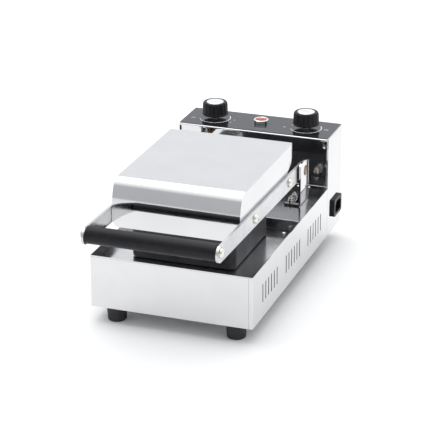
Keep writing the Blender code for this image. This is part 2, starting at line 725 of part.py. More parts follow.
def pin_places():
    return ((-0.0070, -0.0020), (0.0070, -0.0020), (0.0, 0.0020))


def contacts():
    """Three pins in a carrier behind the inlet."""
    behind = HALF_WIDTH - 0.0160 - GAP
    plate = rectangle(INLET_MID.y, INLET_MID.z, 0.0120, 0.0080, 0.001, 2)
    carrier = prism("inlet_contacts", plate, behind - 0.003, behind, "X", zinc())
    for number, (dy, dz) in enumerate(pin_places()):
        pin = prism(
            f"inlet_pin_{number}", rectangle(INLET_MID.y + dy, INLET_MID.z + dz, 0.0010, 0.0020),
            behind - 0.0015, HALF_WIDTH - 0.0035, "X", smooth=False,
        )
        weld_on(carrier, pin)
    return carrier


def terminal_block():
    """Screw terminals on the bottom cover, where the inlet's wires are shared out."""
    low = FOOT_HEIGHT + DECK_SHEET + GAP
    cream = material("terminal_plastic", (0.75, 0.73, 0.66), 0.5, 0.0)
    block = box("terminal_block", (-0.060, 0.388, low), (0.000, 0.410, low + 0.018), cream)
    notches = bmesh.new()
    for number in range(5):
        x = -0.054 + number * 0.012
        add_prism(notches, rectangle(x, 0.399, 0.0040, 0.0045), low + 0.009, low + 0.022, "Z")
    return cut(block, make_object("terminal_cutters", notches, None))


def probe_path():
    """Capillary of the thermostat: from its body down and forward under the deck, up to the bulb."""
    x, y = probe_entry()
    route = [
        Vector((KNOB_X - 0.004, 0.392, BOX_TOP - 0.0285)), Vector((KNOB_X - 0.004, 0.392, FOOT_HEIGHT + 0.040)),
        Vector((KNOB_X - 0.012, 0.330, FOOT_HEIGHT + 0.034)), Vector((x + 0.004, 0.225, FOOT_HEIGHT + 0.034)),
        Vector((x, y, FOOT_HEIGHT + 0.040)), Vector((x, y, LOWER_BOTTOM + 0.0008)),
    ]
    points = [route[0]]
    for before, here, after in zip(route, route[1:], route[2:]):
        into, out = (before - here).normalized(), (after - here).normalized()
        for step in range(6):
            share = step / 5
            start, end = here + into * 0.010, here + out * 0.010
            points.append(start.lerp(here, share).lerp(here.lerp(end, share), share))
    points.append(route[-1])
    return points


def thermostat_probe():
    """Sensing bulb that lies in the lower cast plate's pocket, and the capillary that leads to it."""
    copper = material("copper_capillary", (0.72, 0.38, 0.24), 0.3, 1.0)
    tube("thermostat_capillary", probe_path(), 0.0012, copper, 1)


# ---------------------------------------------------------------- lid
def hood_roll(inset, steps=14):
    """The front's outline in (y, z), from the flat top round to the lower edge, moved inwards by inset.

    The sheet bends tightly under the top and is then almost flat, leaning slightly forwards.
    """
    start, end = Vector((HOOD_CROWN_Y, HOOD_TOP)), Vector((HOOD_FRONT, HOOD_LIP))
    lean = math.radians(3.4)
    first = start + Vector((-0.0245, 0))
    second = end + Vector((math.sin(lean), math.cos(lean))) * 0.0430
    points = []
    for step in range(steps + 1):
        t = (step / steps) ** 1.15
        here = (
            start * (1 - t) ** 3 + first * 3 * t * (1 - t) ** 2 + second * 3 * t * t * (1 - t) + end * t ** 3
        )
        heading = (
            (first - start) * (1 - t) ** 2 + (second - first) * 2 * t * (1 - t) + (end - second) * t * t
        ).normalized()
        inwards = Vector((-heading.y, heading.x))
        points.append(tuple(here + inwards * inset))
    return points


def hood_cover():
    """Front, top and rear of the hood, folded from one polished sheet."""
    corner = 0.0020
    outer = rounded([(HOOD_REAR, HOOD_TAIL + 0.006), (HOOD_REAR, HOOD_TOP), hood_roll(0)[0]], [0, corner, 0], 3)
    rear, under = HOOD_REAR - SHEET, HOOD_TOP - SHEET
    inner = rounded([(rear, HOOD_TAIL + 0.006), (rear, under), hood_roll(SHEET)[0]], [0, corner - SHEET, 0], 3)
    outline = outer + hood_roll(0)[1:] + hood_roll(SHEET)[:0:-1] + inner[::-1]
    cover = prism("hood_cover", outline, -HOOD_HALF, HOOD_HALF, "X", polished())
    corners = bmesh.new()
    for side in (-1, 1):
        add_prism(corners, corner_waste(side), HOOD_FRONT - 0.010, HOOD_FRONT + 0.012, "Y")
    return cut(cover, make_object("hood_corner_cutters", corners, None))


def corner_waste(side):
    """What is cut away to round one lower corner of the hood's front, as an outline in (x, z)."""
    x, z = side * HOOD_HALF, HOOD_LIP
    middle = Vector((x - side * HOOD_CORNER, z + HOOD_CORNER))
    points = [(x + side * 0.002, z + HOOD_CORNER), (x + side * 0.002, z - 0.002), (middle.x, z - 0.002)]
    for step in range(7):
        angle = math.pi / 2 * step / 6
        points.append((middle.x + side * HOOD_CORNER * math.sin(angle), middle.y - HOOD_CORNER * math.cos(angle)))
    return points


def hood_side(name, side):
    """One side of the hood, set in under the cover's edge."""
    inset = SHEET + GAP
    roll = [point for point in hood_roll(inset) if point[1] > HOOD_BOTTOM + 0.004]
    rear, top = HOOD_REAR - inset, HOOD_TOP - inset
    front_foot = (roll[-1][0] - 0.0004, HOOD_BOTTOM)
    rear_foot = [
        (front_foot[0], HOOD_BOTTOM), (rear - 0.018, HOOD_BOTTOM), (rear - 0.018, HOOD_TAIL - 0.008),
        (rear, HOOD_TAIL), (rear, top), roll[0],
    ]
    outline = rounded(rear_foot, [0, 0.002, 0.002, 0.002, 0.0008, 0], 3) + roll[1:]
    x = sorted((side * (HOOD_HALF - 0.0002), side * (HOOD_HALF - 0.0002 - SHEET)))
    made = prism(name, outline, x[0], x[1], "X", polished())
    holes = bmesh.new()
    for y in HOOD_BOLT_Y:
        add_prism(holes, circle(y, arm_z(y), 0.0035, 12), side * HOOD_HALF - 0.01, side * HOOD_HALF + 0.01, "X")
    return cut(made, make_object(name + "_hole_cutters", holes, None))


def lid_frame():
    """Cross frame inside the hood: a sheet with feet that rest against both hood sides."""
    x = HOOD_HALF - 0.0002 - SHEET - GAP
    outer = ((-x, FRAME_Z + 0.014), (-x, FRAME_Z), (x, FRAME_Z), (x, FRAME_Z + 0.014))
    frame = prism(
        "lid_frame", sheet_outline(outer, 0.0015, 0.0018, 3),
        CAST_FRONT - 0.010, CAST_REAR + 0.010, "Y", galvanised(),
    )
    holes = bmesh.new()
    for x, y in hanger_places():
        add_prism(holes, circle(x, y, 0.0028, 12), FRAME_Z - 0.01, FRAME_Z + 0.01, "Z")
    return cut(frame, make_object("frame_hole_cutters", holes, None))


def hanger_places():
    return [(sx * 0.0735, CAST_MID_Y + sy * 0.055) for sy in (-1, 1) for sx in (-1, 1)]


def hanger_stud(name, x, y):
    """Stud with a shoulder that carries the upper cast plate under the frame, and a nut on top."""
    top = UPPER_TOP
    profile = [
        (0, -0.0090), (0.0020, -0.0085), (0.0020, GAP), (0.0045, GAP), (0.0045, FRAME_Z - GAP - top),
        (0.0025, FRAME_Z - GAP - top), (0.0025, FRAME_Z + 0.0015 + GAP - top), (0.0045, FRAME_Z + 0.0015 + GAP - top),
        (0.0045, FRAME_Z + 0.0055 - top), (0, FRAME_Z + 0.0060 - top),
    ]
    return lathe(name, profile, (x, y, top), "Z", zinc(), 12)


def upper_plate_group():
    plate = cast_plate("upper_cooking_plate", UPPER_BOTTOM, UPPER_TOP, UPPER_BOTTOM, 1)
    holes = bmesh.new()
    for x, y in hanger_places():
        add_prism(holes, circle(x, y, 0.0024, 12), UPPER_TOP - 0.0095, UPPER_TOP + 0.003, "Z")
    cut(plate, make_object("upper_plate_hole_cutters", holes, None))
    heater = tube(
        "upper_heater", heater_path(UPPER_HEATER_Z, HEATER_ENDS_X, HEATER_ENDS_Y, 0.017),
        HEATER_RADIUS, heater_sheath(), 1,
    )
    clamp = clamp_plate("upper_heater_clamp", UPPER_TOP - 0.0012)
    studs = [hanger_stud(f"hanger_stud_{n}", x, y) for n, (x, y) in enumerate(hanger_places(), 1)]
    return [plate, heater, clamp, *studs]


def arm(name, side):
    """Flat bar from the handle back to the pivot, with round ends."""
    x = sorted((side * ARM_INNER, side * ARM_OUTER))
    outline = stadium((HANDLE.y, arm_z(HANDLE.y)), PIVOT.yz, ARM_HALF_HEIGHT, 12)
    made = prism(name, outline, x[0], x[1], "X", plain_steel())
    holes = bmesh.new()
    for y in HOOD_BOLT_Y:
        add_prism(holes, circle(y, arm_z(y), 0.0035, 12), x[0] - 0.005, x[1] + 0.005, "X")
    add_prism(holes, circle(HANDLE.y, HANDLE.z, 0.0038, 12), x[0] - 0.005, x[1] + 0.005, "X")
    add_prism(holes, circle(PIVOT.y, PIVOT.z, PIN_RADIUS + GAP, 20), x[0] - 0.005, x[1] + 0.005, "X")
    return cut(made, make_object(name + "_hole_cutters", holes, None))


def dome_bolt(name, side, y, z, inner, outer, head_radius, shank_radius, head_height):
    """Dome-headed bolt whose head sits outside an arm and whose shank reaches inwards."""
    length = outer - inner
    profile = [
        (0, -length), (shank_radius, -length), (shank_radius, GAP), (head_radius, GAP),
        (head_radius, 0.0011), (head_radius * 0.86, head_height * 0.72), (head_radius * 0.5, head_height), (0, head_height),
    ]
    if side < 0:
        profile = [(radius, -height) for radius, height in profile]
    return lathe(name, profile, (side * outer, y, z), "X", zinc(), 16)


def hood_bolt(name, side, y):
    """Holds the hood's side to the arm: dome head outside, collar nut inside the hood."""
    made = dome_bolt(name, side, y, arm_z(y), HOOD_HALF - 0.0075, ARM_OUTER, 0.0075, 0.0030, 0.0044)
    return made


def handle_grip():
    """Black grip between the arms, with a bore for its tie rod."""
    half = ARM_INNER - GAP
    radius = HANDLE_RADIUS
    profile = [
        (0.0042, -half), (radius - 0.0012, -half), (radius, -half + 0.0012), (radius, half - 0.0012),
        (radius - 0.0012, half), (0.0042, half),
    ]
    return lathe("handle_grip", profile, HANDLE, "X", material("black_grip", (0.022, 0.022, 0.024), 0.4, 0.0), 32)


def handle_rod():
    """Tie rod through the grip and both arms, with a dome head at each end."""
    head, outer = 0.0044, ARM_OUTER
    right = [
        (0.0034, outer + GAP), (0.0078, outer + GAP), (0.0078, outer + 0.0012),
        (0.0066, outer + head * 0.75), (0.0038, outer + head), (0, outer + head),
    ]
    profile = [(radius, -height) for radius, height in reversed(right)] + right
    return lathe("handle_rod", profile, HANDLE, "X", zinc(), 16)


def pivot_pin(name, side):
    """Shoulder pin riveted into the arm, which turns loosely in the bracket's oversize hole."""
    head, collar = 0.0085, 0.0115
    inner, outer = ARM_INNER - GAP, ARM_OUTER + GAP
    tip = BRACKET_OUTER + 0.0006
    profile = [
        (0, inner - 0.0020), (head - 0.001, inner - 0.0020), (head, inner - 0.0012), (head, inner), (PIN_RADIUS, inner),
        (PIN_RADIUS, outer), (collar, outer), (collar, BRACKET_INNER - GAP), (PIN_RADIUS, BRACKET_INNER - GAP),
        (PIN_RADIUS, tip - 0.0008), (PIN_RADIUS - 0.0008, tip), (0, tip),
    ]
    placed = [(radius, side * x) for radius, x in profile]
    return lathe(name, placed, PIVOT, "X", material("bronze_pin", (0.36, 0.22, 0.12), 0.35, 1.0), 20)


def hinge_bracket(name, side):
    """Angle bracket bolted to the raised deck, with the pivot hole in its upright."""
    foot = DECK_REAR + GAP
    sheet = BRACKET_OUTER - BRACKET_INNER
    section = (
        (BRACKET_FOOT_END, foot), (BRACKET_OUTER, foot), (BRACKET_OUTER, PIVOT.z + 0.0170),
    )
    outline = sheet_outline(section, sheet, 0.0036, 3)
    made = prism(name, [(side * x, z) for x, z in outline], BRACKET_FRONT, BRACKET_REAR, "Y", polished())
    holes = bmesh.new()
    middle = side * (BRACKET_INNER + BRACKET_OUTER) / 2
    add_prism(holes, circle(PIVOT.y, PIVOT.z, PIN_HOLE, 24), middle - 0.005, middle + 0.005, "X")
    add_prism(holes, circle(PIVOT.y + 0.001, PIVOT.z - 0.0265, 0.0020, 10), middle - 0.005, middle + 0.005, "X")
    for x, y in BRACKET_BOLTS:
        add_prism(holes, circle(side * x, y, 0.0027, 12), foot - 0.003, foot + 0.008, "Z")
    top = PIVOT.z + 0.0170
    for corner, drop in ((BRACKET_FRONT, 0.0035), (BRACKET_REAR, 0.0055)):
        run = drop if corner == BRACKET_FRONT else -0.0200
        wedge = [(corner - math.copysign(0.001, run), top + 0.001), (corner + run, top + 0.001), (corner + run, top),
                 (corner, top - drop), (corner - math.copysign(0.001, run), top - drop)]
        add_prism(holes, wedge, middle - 0.005, middle + 0.005, "X")
    return cut(made, make_object(name + "_cutters", holes, None))


def bracket_bolt(name, x, y):
    """Hexagon nut and washer on a bolt that comes up through the deck and the bracket's foot."""
    top = DECK_REAR + GAP + BRACKET_OUTER - BRACKET_INNER + GAP
    below = DECK_REAR - DECK_SHEET - GAP - top
    bm = bmesh.new()
    shank, nut, washer = 0.0024, 0.0044, 0.0058
    profile = [
        (0, below - 0.0030), (nut, below - 0.0026), (nut, below), (shank, below), (shank, 0), (washer, 0),
        (washer, 0.0010), (nut, 0.0010), (nut, 0.0046), (shank, 0.0050), (shank, 0.0075), (0, 0.0080),
    ]
    add_lathe(bm, profile, Vector((x, y, top)), "Z", 12)
    return make_object(name, bm, zinc())


def build_lid():
    pieces = upper_plate_group()
    pieces += [hood_cover(), lid_frame(), handle_grip(), handle_rod()]
    for side, tag in ((-1, "left"), (1, "right")):
        pieces += [hood_side(f"hood_side_{tag}", side), arm(f"arm_{tag}", side)]
        pieces.append(pivot_pin(f"pivot_pin_{tag}", side))
        for number, y in enumerate(HOOD_BOLT_Y, 1):
            pieces.append(hood_bolt(f"hood_bolt_{tag}_{number}", side, y))
    put_origin(PIVOT, *pieces)
    return pieces


def build_base():
    base_shell()
    deck_plate()
    bottom_cover()
    for tag, (x, y) in zip(("front_left", "front_right", "rear_left", "rear_right"), FOOT_PLACES):
        rubber_foot(f"foot_{tag}", x, y)
    lower_plate_group()
    for number, (x, y) in enumerate(deck_screw_places(), 1):
        pan_screw(f"deck_screw_{number}", x, y, DECK_FLOOR)
    for side, tag in ((-1, "left"), (1, "right")):
        hinge_bracket(f"hinge_bracket_{tag}", side)
        for number, (x, y) in enumerate(BRACKET_BOLTS, 1):
            bracket_bolt(f"bracket_bolt_{tag}_{number}", side * x, y)


def build_controls():
    control_housing()
    control_front_panel()
    rear_panel()
    control_fascia()
    for side, tag in ((-1, "timer"), (1, "thermostat")):
        knob(f"{tag}_knob", side * KNOB_X)
        knob_cap(f"{tag}_knob_cap", side * KNOB_X)
        knob_shaft(f"{tag}_shaft", side * KNOB_X)
    switch_body("timer_body", -KNOB_X, 0.021, 0.032)
    switch_body("thermostat_body", KNOB_X, 0.018, 0.026)
    pilot_lamp()
    power_inlet()
    terminal_block()
    thermostat_probe()


def shift_to_origin():
    """Puts the origin under the middle of the whole object."""
    for obj in bpy.data.objects:
        if obj.parent is None:
            obj.location -= ORIGIN


def main():
    for obj in list(bpy.data.objects):
        bpy.data.objects.remove(obj)
    build_base()
    build_controls()
    build_lid()
    shift_to_origin()


main()
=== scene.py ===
"""Looks of the donut maker: studio, camera, materials and the fine detail of its surfaces.

Everything is in metres, in the CAD's own frame. Places come from the CAD nodes' boxes.
"""

import json
import math

import bmesh
import bpy
from mathutils import Matrix, Vector

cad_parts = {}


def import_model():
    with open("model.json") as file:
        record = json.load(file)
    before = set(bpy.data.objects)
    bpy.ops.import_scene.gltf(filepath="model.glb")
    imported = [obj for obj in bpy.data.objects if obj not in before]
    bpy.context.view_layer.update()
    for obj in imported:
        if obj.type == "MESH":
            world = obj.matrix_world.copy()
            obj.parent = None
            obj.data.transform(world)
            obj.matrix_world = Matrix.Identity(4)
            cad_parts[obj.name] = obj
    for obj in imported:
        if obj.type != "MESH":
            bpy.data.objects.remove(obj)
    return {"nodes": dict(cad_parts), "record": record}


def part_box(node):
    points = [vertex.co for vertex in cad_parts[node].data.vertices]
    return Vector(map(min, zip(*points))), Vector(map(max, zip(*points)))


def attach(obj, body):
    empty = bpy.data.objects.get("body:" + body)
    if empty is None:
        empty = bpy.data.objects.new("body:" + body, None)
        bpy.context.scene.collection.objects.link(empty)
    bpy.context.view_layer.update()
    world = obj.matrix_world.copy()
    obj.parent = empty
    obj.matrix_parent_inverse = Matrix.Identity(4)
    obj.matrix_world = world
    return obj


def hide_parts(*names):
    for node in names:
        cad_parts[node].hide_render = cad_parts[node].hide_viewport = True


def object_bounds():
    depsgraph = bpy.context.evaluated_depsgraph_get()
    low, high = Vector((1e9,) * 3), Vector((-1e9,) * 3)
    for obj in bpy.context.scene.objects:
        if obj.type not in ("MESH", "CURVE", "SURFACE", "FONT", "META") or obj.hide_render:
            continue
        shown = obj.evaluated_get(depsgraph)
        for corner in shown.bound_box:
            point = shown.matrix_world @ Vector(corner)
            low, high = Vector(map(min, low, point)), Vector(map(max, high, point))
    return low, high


PRINT_LIFT, PRINT_DEPTH = 0.00002, 0.00006  # a print lies this far above its surface, and is this thick
SCALE_RADIUS = 0.0246           # white scale round each knob
POINTER_ANGLE = 163             # degrees from +X: where a knob at rest points
FLUTES = 16

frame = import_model()
cad_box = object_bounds()
nodes = frame["nodes"]


# ---------------------------------------------------------------- node tools
class Surface:
    """A Principled material whose sockets are fed by small procedural networks."""

    def __init__(self, name, colour=(0.8, 0.8, 0.8), roughness=0.5, metallic=0.0, **sockets):
        self.material = bpy.data.materials.new(name)
        self.material.use_nodes = True
        self.tree = self.material.node_tree
        self.shader = self.tree.nodes["Principled BSDF"]
        self.set("Base Color", (*colour, 1.0))
        self.set("Roughness", roughness)
        self.set("Metallic", metallic)
        for key, value in sockets.items():
            self.set(key.replace("_", " "), value)
        self.coordinates = self.add("ShaderNodeTexCoord").outputs["Object"]
        self.normal = None

    def add(self, kind, **settings):
        made = self.tree.nodes.new(kind)
        for key, value in settings.items():
            setattr(made, key, value)
        return made

    def link(self, source, target):
        self.tree.links.new(source, target)

    def set(self, socket, value):
        self.shader.inputs[socket].default_value = value

    def stretched(self, scale):
        """Object coordinates stretched by a different factor along each axis."""
        mapping = self.add("ShaderNodeMapping")
        mapping.inputs["Scale"].default_value = scale
        self.link(self.coordinates, mapping.inputs["Vector"])
        return mapping.outputs["Vector"]

    def noise(self, scale, detail=3.0, roughness=0.5, vector=None):
        made = self.add("ShaderNodeTexNoise")
        made.inputs["Scale"].default_value = scale
        made.inputs["Detail"].default_value = detail
        made.inputs["Roughness"].default_value = roughness
        self.link(vector or self.coordinates, made.inputs["Vector"])
        return made.outputs["Fac"]

    def cells(self, scale, feature="F1", vector=None):
        made = self.add("ShaderNodeTexVoronoi", feature=feature)
        made.inputs["Scale"].default_value = scale
        self.link(vector or self.coordinates, made.inputs["Vector"])
        return made.outputs["Distance"]

    def remap(self, value, low, high, start=0.3, end=0.7):
        made = self.add("ShaderNodeMapRange")
        made.inputs["From Min"].default_value = start
        made.inputs["From Max"].default_value = end
        made.inputs["To Min"].default_value = low
        made.inputs["To Max"].default_value = high
        self.link(value, made.inputs["Value"])
        return made.outputs["Result"]

    def ramp(self, value, *stops):
        made = self.add("ShaderNodeValToRGB")
        elements = made.color_ramp.elements
        while len(elements) < len(stops):
            elements.new(1.0)
        for element, (place, colour) in zip(elements, stops):
            element.position = place
            element.color = (*colour, 1.0)
        self.link(value, made.inputs["Fac"])
        return made.outputs["Color"]

    def colour(self, value):
        self.link(value, self.shader.inputs["Base Color"])
        return self

    def roughness(self, value):
        self.link(value, self.shader.inputs["Roughness"])
        return self

    def bump(self, height, strength, distance):
        """Adds one more layer of relief; layers chain through their normals."""
        made = self.add("ShaderNodeBump")
        made.inputs["Strength"].default_value = strength
        made.inputs["Distance"].default_value = distance
        self.link(height, made.inputs["Height"])
        if self.normal:
            self.link(self.normal, made.inputs["Normal"])
        self.normal = made.outputs["Normal"]
        self.link(self.normal, self.shader.inputs["Normal"])
        return self


def multiply(surface, first, second):
    made = surface.add("ShaderNodeMath", operation="MULTIPLY")
    surface.link(first, made.inputs[0])
    surface.link(second, made.inputs[1])
    return made.outputs[0]


# ---------------------------------------------------------------- materials
def polished_steel():
    """Mirror-polished sheet: faint waviness, polishing lines and a few dull smears."""
    made = Surface("polished_stainless", (0.69, 0.69, 0.695), 0.06, 1.0)
    smears = made.noise(14.0, 5.0, 0.6)
    lines = made.noise(1.0, 2.0, 0.5, made.stretched((900.0, 60.0, 900.0)))
    made.colour(made.ramp(smears, (0.35, (0.675, 0.675, 0.68)), (0.65, (0.705, 0.705, 0.71))))
    made.roughness(made.remap(multiply(made, smears, lines), 0.035, 0.11, 0.15, 0.45))
    made.bump(made.noise(9.0, 1.0), 0.35, 0.0004)
    made.bump(lines, 0.03, 0.00005)
    return made.material


def dull_steel():
    """The deck under the lid: polished sheet that has gone dull and a little dirty."""
    made = Surface("dull_stainless", (0.62, 0.62, 0.63), 0.2, 1.0)
    cloud = made.noise(18.0, 5.0, 0.6)
    lines = made.noise(1.0, 2.0, 0.5, made.stretched((60.0, 900.0, 900.0)))
    made.colour(made.ramp(cloud, (0.35, (0.58, 0.58, 0.59)), (0.65, (0.66, 0.66, 0.67))))
    made.roughness(made.remap(multiply(made, cloud, lines), 0.13, 0.27, 0.15, 0.45))
    made.bump(made.noise(14.0, 1.0), 0.35, 0.0004)
    made.bump(lines, 0.05, 0.00005)
    return made.material


def satin_steel():
    """Bar stock: a grain that runs along the arms."""
    made = Surface("satin_stainless", (0.62, 0.62, 0.63), 0.24, 1.0)
    grain = made.noise(1.0, 4.0, 0.6, made.stretched((1500.0, 30.0, 1500.0)))
    cloud = made.noise(25.0, 4.0)
    made.colour(made.ramp(cloud, (0.3, (0.56, 0.56, 0.575)), (0.7, (0.68, 0.68, 0.69))))
    made.roughness(made.remap(grain, 0.16, 0.34))
    made.bump(grain, 0.12, 0.00008)
    return made.material


def galvanised():
    """Zinc spangle on the hidden sheets."""
    made = Surface("galvanised_steel", (0.55, 0.56, 0.57), 0.42, 0.9)
    spangle = made.cells(90.0)
    made.colour(made.ramp(spangle, (0.1, (0.62, 0.63, 0.64)), (0.8, (0.42, 0.43, 0.45))))
    made.roughness(made.remap(made.noise(60.0, 3.0), 0.32, 0.55))
    made.bump(spangle, 0.08, 0.0001)
    return made.material


def zinc_plating():
    made = Surface("zinc_plated_steel", (0.80, 0.78, 0.73), 0.22, 1.0)
    cloud = made.noise(140.0, 4.0)
    made.colour(made.ramp(cloud, (0.3, (0.74, 0.71, 0.64)), (0.7, (0.84, 0.83, 0.80))))
    made.roughness(made.remap(cloud, 0.14, 0.32))
    made.bump(made.noise(500.0, 3.0), 0.08, 0.0001)
    return made.material


def cast_black():
    """Non-stick coating on sand-cast aluminium."""
    made = Surface("nonstick_cast_aluminium", (0.035, 0.035, 0.040), 0.42, 0.0, Specular_IOR_Level=0.55)
    cloud = made.noise(40.0, 5.0, 0.6)
    pits = made.noise(420.0, 4.0, 0.6)
    made.colour(made.ramp(cloud, (0.3, (0.026, 0.026, 0.031)), (0.7, (0.056, 0.056, 0.064))))
    made.roughness(made.remap(cloud, 0.34, 0.52))
    made.bump(made.noise(60.0, 3.0), 0.25, 0.0008)
    made.bump(pits, 0.30, 0.0003)
    return made.material


def heater_sheath():
    made = Surface("heater_sheath", (0.15, 0.14, 0.13), 0.5, 1.0)
    cloud = made.noise(60.0, 5.0, 0.6)
    made.colour(made.ramp(cloud, (0.3, (0.10, 0.09, 0.09)), (0.7, (0.24, 0.21, 0.17))))
    made.roughness(made.remap(cloud, 0.40, 0.62))
    return made.material


def rubber():
    made = Surface("black_rubber", (0.020, 0.020, 0.022), 0.62, 0.0, Specular_IOR_Level=0.4)
    cloud = made.noise(90.0, 5.0, 0.65)
    made.colour(made.ramp(cloud, (0.3, (0.013, 0.013, 0.015)), (0.7, (0.032, 0.032, 0.034))))
    made.roughness(made.remap(cloud, 0.52, 0.75))
    made.bump(made.noise(700.0, 3.0), 0.25, 0.0002)
    return made.material


def moulded_black(name, scale=600.0, gloss=0.34, streaks=0.0):
    """Moulded plastic with a fine spark-eroded texture and, on the grip, lengthwise streaks."""
    made = Surface(name, (0.009, 0.009, 0.011), gloss, 0.0, Specular_IOR_Level=0.22)
    cloud = made.noise(70.0, 4.0)
    made.colour(made.ramp(cloud, (0.3, (0.006, 0.006, 0.008)), (0.7, (0.012, 0.012, 0.015))))
    made.roughness(made.remap(cloud, gloss - 0.05, gloss + 0.09))
    made.bump(made.noise(scale, 3.0), 0.18, 0.0002)
    if streaks:
        made.bump(made.noise(1.0, 3.0, 0.5, made.stretched((40.0, 420.0, 420.0))), streaks, 0.0004)
    return made.material


def gloss_fascia():
    """Printed black film under a clear glossy layer."""
    made = Surface(
        "gloss_black_fascia", (0.015, 0.015, 0.019), 0.10, 0.0, Specular_IOR_Level=0.48,
        Specular_Tint=(0.95, 0.96, 1.0, 1.0),
    )
    cloud = made.noise(30.0, 4.0)
    made.colour(made.ramp(cloud, (0.3, (0.012, 0.012, 0.016)), (0.7, (0.018, 0.018, 0.023))))
    made.roughness(made.remap(cloud, 0.07, 0.15))
    made.bump(made.noise(35.0, 2.0), 0.10, 0.0003)
    return made.material


def spun_cap():
    """Turned aluminium: fine rings from the lathe."""
    made = Surface("bright_cap", (0.90, 0.90, 0.91), 0.22, 1.0)
    cloud = made.noise(160.0, 4.0)
    made.colour(made.ramp(cloud, (0.3, (0.86, 0.86, 0.87)), (0.7, (0.94, 0.94, 0.95))))
    made.roughness(made.remap(cloud, 0.16, 0.30))
    made.bump(made.noise(900.0, 2.0), 0.08, 0.00008)
    return made.material


def chrome():
    made = Surface("chrome", (0.88, 0.88, 0.90), 0.06, 1.0)
    cloud = made.noise(120.0, 3.0)
    made.colour(made.ramp(cloud, (0.3, (0.84, 0.84, 0.86)), (0.7, (0.91, 0.91, 0.93))))
    made.roughness(made.remap(cloud, 0.04, 0.12))
    return made.material


def orange_lens():
    """Moulded lamp lens, its tone varying at random."""
    made = Surface(
        "orange_lens", (0.45, 0.08, 0.015), 0.12, 0.0, Specular_IOR_Level=0.3,
        Subsurface_Weight=0.3, Subsurface_Scale=0.002,
    )
    cloud = made.noise(260.0, 2.0)
    made.colour(made.ramp(cloud, (0.3, (0.30, 0.040, 0.008)), (0.7, (0.52, 0.12, 0.025))))
    made.bump(cloud, 0.15, 0.0003)
    return made.material


def terminal_plastic():
    made = Surface("terminal_plastic", (0.75, 0.73, 0.66), 0.5, 0.0)
    cloud = made.noise(80.0, 4.0)
    made.colour(made.ramp(cloud, (0.3, (0.70, 0.67, 0.59)), (0.7, (0.80, 0.78, 0.72))))
    made.bump(made.noise(500.0, 3.0), 0.15, 0.0002)
    return made.material


def copper():
    made = Surface("copper_capillary", (0.72, 0.38, 0.24), 0.3, 1.0)
    cloud = made.noise(120.0, 4.0)
    made.colour(made.ramp(cloud, (0.3, (0.60, 0.30, 0.18)), (0.7, (0.80, 0.46, 0.31))))
    made.roughness(made.remap(cloud, 0.22, 0.42))
    return made.material


def bronze():
    made = Surface("bronze_pin", (0.36, 0.22, 0.12), 0.35, 1.0)
    cloud = made.noise(200.0, 4.0)
    made.colour(made.ramp(cloud, (0.3, (0.24, 0.14, 0.08)), (0.7, (0.46, 0.30, 0.17))))
    made.roughness(made.remap(cloud, 0.26, 0.46))
    return made.material


# Flat ink colour: used for the real prints, and also for the painted shade of the seams, folds and vents.
def print_or_shade_ink(name, grey):
    made = Surface(name, (grey, grey, grey), 0.4, 0.0)
    cloud = made.noise(500.0, 3.0)
    light, dark = grey * 1.05, grey * 0.93
    made.colour(made.ramp(cloud, (0.3, (dark, dark, dark)), (0.7, (light, light, light))))
    return made.material


MATERIALS = {
    "polished_stainless": polished_steel(),
    "plain_stainless": satin_steel(),
    "galvanised_steel": galvanised(),
    "zinc_plated_steel": zinc_plating(),
    "nonstick_cast_aluminium": cast_black(),
    "heater_sheath": heater_sheath(),
    "black_rubber": rubber(),
    "gloss_black_fascia": gloss_fascia(),
    "black_plastic": moulded_black("black_plastic"),
    "bright_cap": spun_cap(),
    "chrome": chrome(),
    "orange_lens": orange_lens(),
    "terminal_plastic": terminal_plastic(),
    "copper_capillary": copper(),
    "black_grip": moulded_black("black_grip", 450.0, 0.38, 0.5),
    "bronze_pin": bronze(),
}
DULL_STEEL = dull_steel()
WHITE = print_or_shade_ink("printed_white", 0.82)
GREY = print_or_shade_ink("printed_grey", 0.45)
# Painted shade: a dark grey standing in for the shadow in the gaps of the hood's seams.
SEAM_SHADE = print_or_shade_ink("seam_shadow", 0.16)
# Painted shade: a grey standing in for how the folds on the base's front catch light and shade.
FOLD_SHADE = print_or_shade_ink("fold_painted_shade", 0.42)
# Painted shade: near-black standing in for the shade seen through the vent slots.
VENT_SHADE = print_or_shade_ink("vent_painted_shade", 0.02)


def finish_cad_nodes():
    """Gives each CAD node its slot's material and smooth shading across its facets."""
    slots = {entry["node"]: entry["material_slot"] for entry in frame["record"]["subparts"]}
    for name, node in nodes.items():
        node.data.materials.clear()
        node.data.materials.append(DULL_STEEL if name == "deck_plate" else MATERIALS[slots[name]])
        weld = node.modifiers.new("weld", "WELD")
        weld.merge_threshold = 0.00001
        split = node.modifiers.new("split", "EDGE_SPLIT")
        split.split_angle = math.radians(32)
        node.data.shade_smooth()
        flat = node.modifiers.new("flat_faces", "WEIGHTED_NORMAL")
        flat.mode = "FACE_AREA"
        flat.weight = 100


# ---------------------------------------------------------------- prints
def print_or_shade_piece(name, body, bm, material=WHITE):
    """A flat print, or a flat piece of painted shade, made from the mesh, on one body."""
    mesh = bpy.data.meshes.new(name)
    bm.to_mesh(mesh)
    bm.free()
    mesh.materials.append(material)
    made = bpy.data.objects.new(name, mesh)
    bpy.context.scene.collection.objects.link(made)
    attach(made, body)
    return made


def add_slab(bm, outline, low, high):
    """An upright slab over a counterclockwise outline in (x, y)."""
    count = len(outline)
    under = [bm.verts.new((x, y, low)) for x, y in outline]
    over = [bm.verts.new((x, y, high)) for x, y in outline]
    bm.faces.new(over)
    bm.faces.new(under[::-1])
    for i in range(count):
        j = (i + 1) % count
        bm.faces.new((under[i], under[j], over[j], over[i]))


